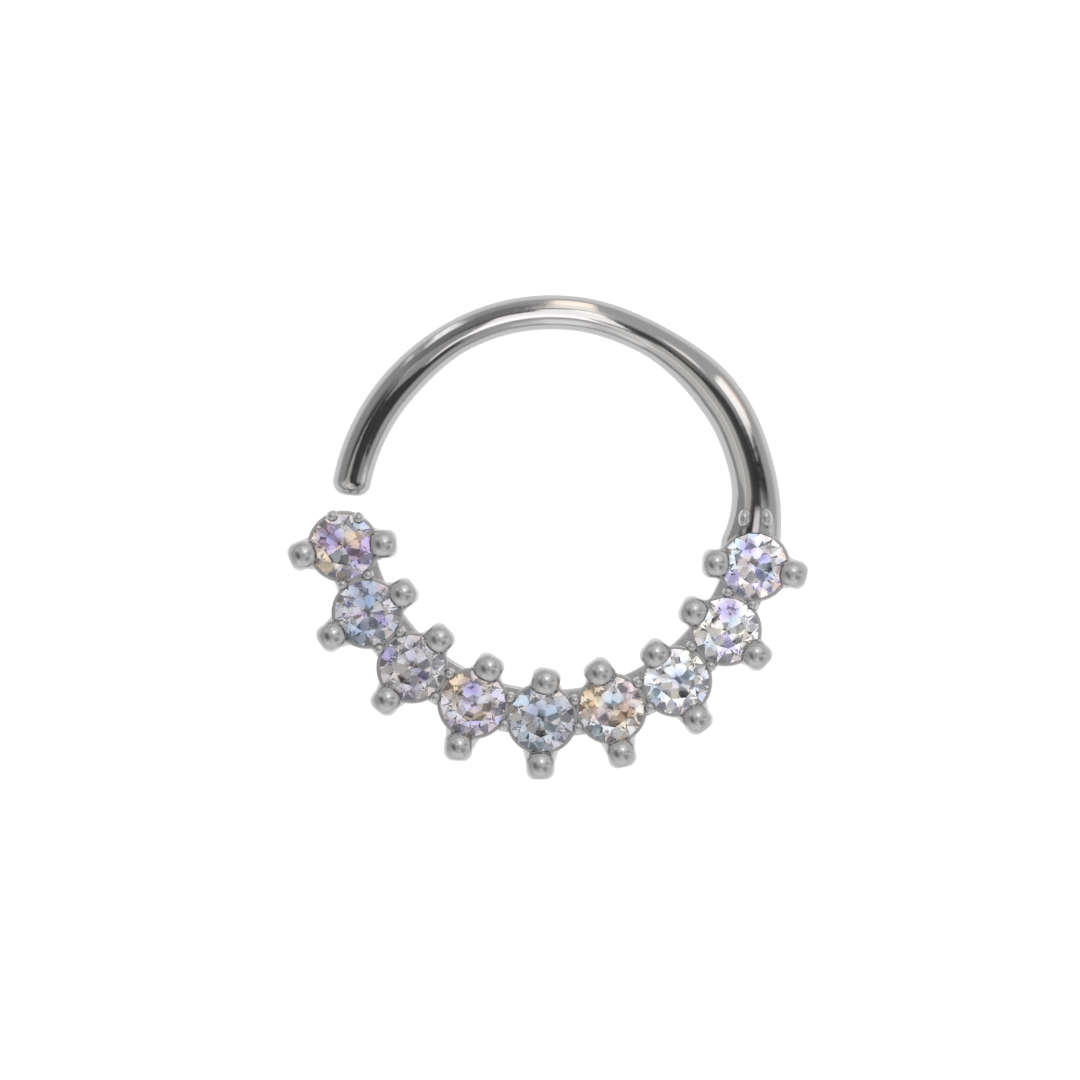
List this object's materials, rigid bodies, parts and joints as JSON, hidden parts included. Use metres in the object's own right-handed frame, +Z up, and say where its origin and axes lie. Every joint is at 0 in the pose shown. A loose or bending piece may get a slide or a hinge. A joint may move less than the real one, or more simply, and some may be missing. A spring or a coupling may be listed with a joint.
{
  "type": "daith ring",
  "caption": "Open hoop of polished round wire for a daith piercing, its lower arc a row of prong-set round stones on a flat-backed rail.",
  "frame": {"origin": "on the surface that the hoop lies on, below the middle of its box", "axes": "+Z up out of the flat back, towards the stones' tables; +Y towards the plain wire over the top; +X to the right as the front is seen, towards the side where the wire joins the row"},
  "size_m": [0.0116, 0.0108, 0.0013],
  "materials": {
    "polished_metal": "mirror-polished silver-grey metal with soft cast texture between the settings",
    "clear_stone": "colourless brilliant-cut stone with strong fire"
  },
  "bodies": {
    "root": {"hoop_frame": "polished_metal", "stone_1": "clear_stone", "stone_2": "clear_stone", "stone_3": "clear_stone", "stone_4": "clear_stone", "stone_5": "clear_stone", "stone_6": "clear_stone", "stone_7": "clear_stone", "stone_8": "clear_stone", "stone_9": "clear_stone"}
  },
  "joints": []
}
